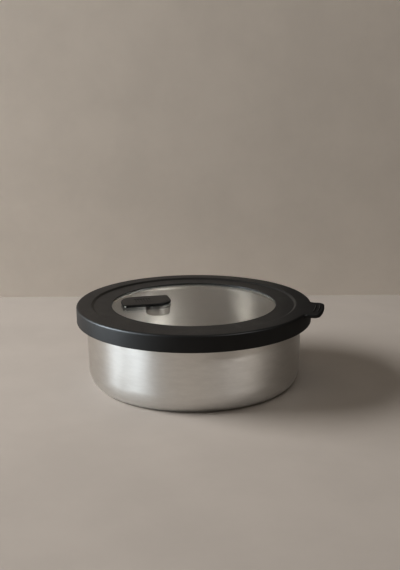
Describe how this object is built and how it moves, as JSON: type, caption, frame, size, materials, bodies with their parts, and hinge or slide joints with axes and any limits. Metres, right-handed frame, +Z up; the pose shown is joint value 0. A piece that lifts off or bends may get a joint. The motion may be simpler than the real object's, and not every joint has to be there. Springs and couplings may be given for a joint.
{
  "type": "stainless food container",
  "caption": "Round stainless steel food bowl with a press-on black lid that has a pull tab, a glass window and a flip-up steam vent.",
  "frame": {"origin": "centre of the bowl's flat base, on the surface it stands on", "axes": "+Z up along the bowl's axis, +X towards the lid's pull tab"},
  "size_m": [0.1793, 0.17, 0.0579],
  "materials": {
    "satin_steel": "satin, fine grain",
    "black_ring_plastic": "matt black",
    "black_frame_plastic": "matt black",
    "black_vent_plastic": "matt black",
    "window_glass": "clear, polished",
    "grey_silicone": "soft, matt",
    "milky_silicone": "translucent, satin",
    "bright_steel": "ground"
  },
  "bodies": {
    "bowl": {"bowl_shell": "satin_steel"},
    "lid": {"lid_ring": "black_ring_plastic", "lid_seal": "grey_silicone", "window_pane": "window_glass", "window_seal": "milky_silicone", "retaining_ring": "satin_steel", "vent_base": "black_frame_plastic", "vent_gasket": "milky_silicone", "vent_nut": "satin_steel", "vent_hinge_pin": "bright_steel"},
    "vent": {"vent_flap": "black_vent_plastic", "vent_stopper": "grey_silicone"}
  },
  "joints": [
    {"name": "lid_lift", "type": "slide", "parent": "bowl", "child": "lid", "axis": [0, 0, 1], "range_m": [0, 0.1]},
    {"name": "vent_lift", "type": "hinge", "parent": "lid", "child": "vent", "pos_m": [-0.05013, -0.01321, 0.05675], "axis": [0.4587, -0.8886, 0], "range_deg": [0, 90]}
  ]
}
